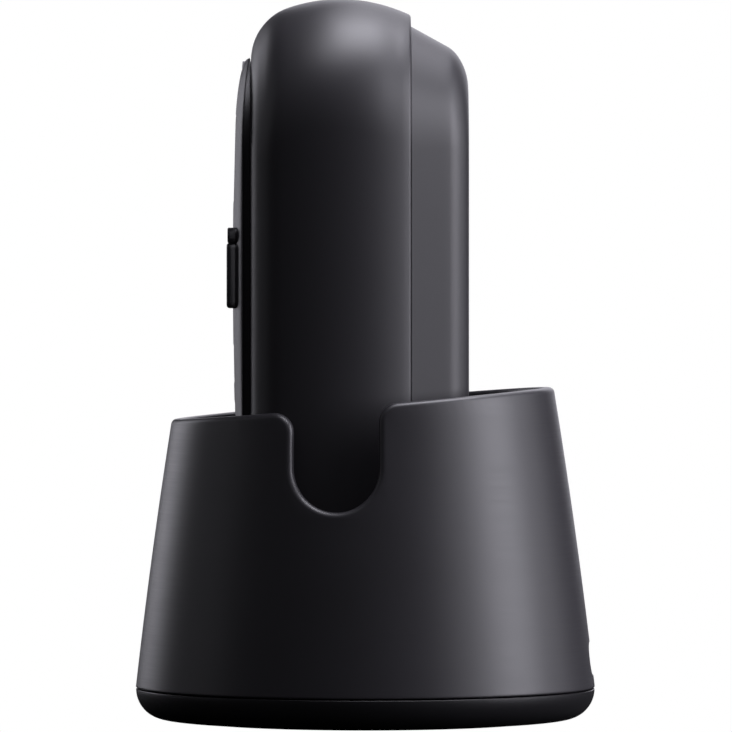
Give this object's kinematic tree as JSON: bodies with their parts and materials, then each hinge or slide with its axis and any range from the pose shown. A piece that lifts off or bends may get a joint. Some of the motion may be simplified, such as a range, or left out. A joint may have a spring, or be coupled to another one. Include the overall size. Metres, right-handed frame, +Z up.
{
  "type": "cordless phone with base",
  "caption": "Stocky domed cordless handset with front keypad and display, standing upright in a flared round charging cup with a slanted rim and finger notches on both sides.",
  "frame": {"origin": "centre of the base's round foot on the surface it stands on", "axes": "+Z up; the keypad faces -Y; +X is across the phone, so its narrow side and a finger notch face +X"},
  "size_m": [0.0688, 0.0688, 0.108],
  "materials": {
    "charcoal_abs": "fine satin moulded texture",
    "pan_abs": "satin",
    "cradle_abs": "matte",
    "foot_rubber": "matte",
    "key_silicone": "matte with pale digits",
    "ok_silicone": "matte",
    "talk_silicone": "matte",
    "end_silicone": "matte",
    "nav_plastic": "satin",
    "smoked_acrylic": "polished",
    "display_panel": "satin",
    "mat_silicone": "matte translucent",
    "circuit_board": "solder mask",
    "zinc_steel": "zinc plated",
    "ballast_steel": "punched, phosphated",
    "gold_contact": "gold plated",
    "cell_wrap": "shrink sleeve",
    "capsule_metal": "satin",
    "grille_metal": "fine mesh, painted",
    "inlet_plastic": "moulded"
  },
  "bodies": {
    "base": {"base_housing": "charcoal_abs", "cradle_insert": "cradle_abs", "base_bottom_pan": "pan_abs", "foot_ring": "foot_rubber", "ballast_plate": "ballast_steel", "charger_pcb": "circuit_board", "contact_block": "cradle_abs", "inlet_shell": "zinc_steel", "inlet_tongue": "inlet_plastic", "base_screw_1": "zinc_steel", "base_screw_2": "zinc_steel", "base_screw_3": "zinc_steel", "base_screw_4": "zinc_steel"},
    "handset": {"body_band": "charcoal_abs", "front_cover": "charcoal_abs", "back_shell": "charcoal_abs", "battery_door": "charcoal_abs", "battery_door_screw": "zinc_steel", "display_lens": "smoked_acrylic", "display_module": "display_panel", "earpiece_grille": "grille_metal", "earpiece_speaker": "capsule_metal", "keypad_mat": "mat_silicone", "main_pcb": "circuit_board", "inner_chassis": "cradle_abs", "microphone": "capsule_metal", "ringer_speaker": "capsule_metal", "antenna": "gold_contact", "battery_cell_left": "cell_wrap", "battery_cell_right": "cell_wrap", "battery_terminal_top": "zinc_steel", "battery_terminal_bottom": "zinc_steel", "charge_pad_left": "gold_contact", "charge_pad_right": "gold_contact", "handset_screw_1": "zinc_steel", "handset_screw_2": "zinc_steel", "handset_screw_3": "zinc_steel", "handset_screw_4": "zinc_steel"},
    "key_1": {"key_1": "key_silicone"},
    "key_2": {"key_2": "key_silicone"},
    "key_3": {"key_3": "key_silicone"},
    "key_4": {"key_4": "key_silicone"},
    "key_5": {"key_5": "key_silicone"},
    "key_6": {"key_6": "key_silicone"},
    "key_7": {"key_7": "key_silicone"},
    "key_8": {"key_8": "key_silicone"},
    "key_9": {"key_9": "key_silicone"},
    "key_star": {"key_star": "key_silicone"},
    "key_0": {"key_0": "key_silicone"},
    "key_hash": {"key_hash": "key_silicone"},
    "talk_key": {"talk_key": "talk_silicone"},
    "end_key": {"end_key": "end_silicone"},
    "ok_key": {"ok_key": "ok_silicone"},
    "softkey_bar": {"softkey_bar": "nav_plastic"},
    "nav_rocker": {"nav_rocker": "nav_plastic"},
    "contact_pin_left": {"contact_pin_left": "gold_contact"},
    "contact_pin_right": {"contact_pin_right": "gold_contact"}
  },
  "joints": [
    {"name": "handset_lift", "type": "slide", "parent": "base", "child": "handset", "axis": [0, 0, 1], "range_m": [0, 0.045]},
    {"name": "key_1_press", "type": "slide", "parent": "handset", "child": "key_1", "axis": [0, 1, 0], "range_m": [0, 0.00035], "stiffness_N_per_m": 2500},
    {"name": "key_2_press", "type": "slide", "parent": "handset", "child": "key_2", "axis": [0, 1, 0], "range_m": [0, 0.00035], "stiffness_N_per_m": 2500},
    {"name": "key_3_press", "type": "slide", "parent": "handset", "child": "key_3", "axis": [0, 1, 0], "range_m": [0, 0.00035], "stiffness_N_per_m": 2500},
    {"name": "key_4_press", "type": "slide", "parent": "handset", "child": "key_4", "axis": [0, 1, 0], "range_m": [0, 0.00035], "stiffness_N_per_m": 2500},
    {"name": "key_5_press", "type": "slide", "parent": "handset", "child": "key_5", "axis": [0, 1, 0], "range_m": [0, 0.00035], "stiffness_N_per_m": 2500},
    {"name": "key_6_press", "type": "slide", "parent": "handset", "child": "key_6", "axis": [0, 1, 0], "range_m": [0, 0.00035], "stiffness_N_per_m": 2500},
    {"name": "key_7_press", "type": "slide", "parent": "handset", "child": "key_7", "axis": [0, 1, 0], "range_m": [0, 0.00035], "stiffness_N_per_m": 2500},
    {"name": "key_8_press", "type": "slide", "parent": "handset", "child": "key_8", "axis": [0, 1, 0], "range_m": [0, 0.00035], "stiffness_N_per_m": 2500},
    {"name": "key_9_press", "type": "slide", "parent": "handset", "child": "key_9", "axis": [0, 1, 0], "range_m": [0, 0.00035], "stiffness_N_per_m": 2500},
    {"name": "key_star_press", "type": "slide", "parent": "handset", "child": "key_star", "axis": [0, 1, 0], "range_m": [0, 0.00035], "stiffness_N_per_m": 2500},
    {"name": "key_0_press", "type": "slide", "parent": "handset", "child": "key_0", "axis": [0, 1, 0], "range_m": [0, 0.00035], "stiffness_N_per_m": 2500},
    {"name": "key_hash_press", "type": "slide", "parent": "handset", "child": "key_hash", "axis": [0, 1, 0], "range_m": [0, 0.00035], "stiffness_N_per_m": 2500},
    {"name": "talk_key_press", "type": "slide", "parent": "handset", "child": "talk_key", "axis": [0, 1, 0], "range_m": [0, 0.00035], "stiffness_N_per_m": 2500},
    {"name": "end_key_press", "type": "slide", "parent": "handset", "child": "end_key", "axis": [0, 1, 0], "range_m": [0, 0.00035], "stiffness_N_per_m": 2500},
    {"name": "ok_key_press", "type": "slide", "parent": "handset", "child": "ok_key", "axis": [0, 1, 0], "range_m": [0, 0.00035], "stiffness_N_per_m": 2500},
    {"name": "softkey_tilt", "type": "hinge", "parent": "handset", "child": "softkey_bar", "pos_m": [0, -0.01715, 0.07275], "axis": [0, 0, 1], "range_deg": [-1.6, 1.6], "stiffness_Nm_per_rad": 0.4},
    {"name": "nav_tilt", "type": "hinge", "parent": "handset", "child": "nav_rocker", "pos_m": [0, -0.01715, 0.06665], "axis": [1, 0, 0], "range_deg": [-2, 2], "stiffness_Nm_per_rad": 0.2},
    {"name": "contact_left_press", "type": "slide", "parent": "base", "child": "contact_pin_left", "axis": [0, 0, 1], "range_m": [-0.0008, 0], "stiffness_N_per_m": 400},
    {"name": "contact_right_press", "type": "slide", "parent": "base", "child": "contact_pin_right", "axis": [0, 0, 1], "range_m": [-0.0008, 0], "stiffness_N_per_m": 400}
  ]
}
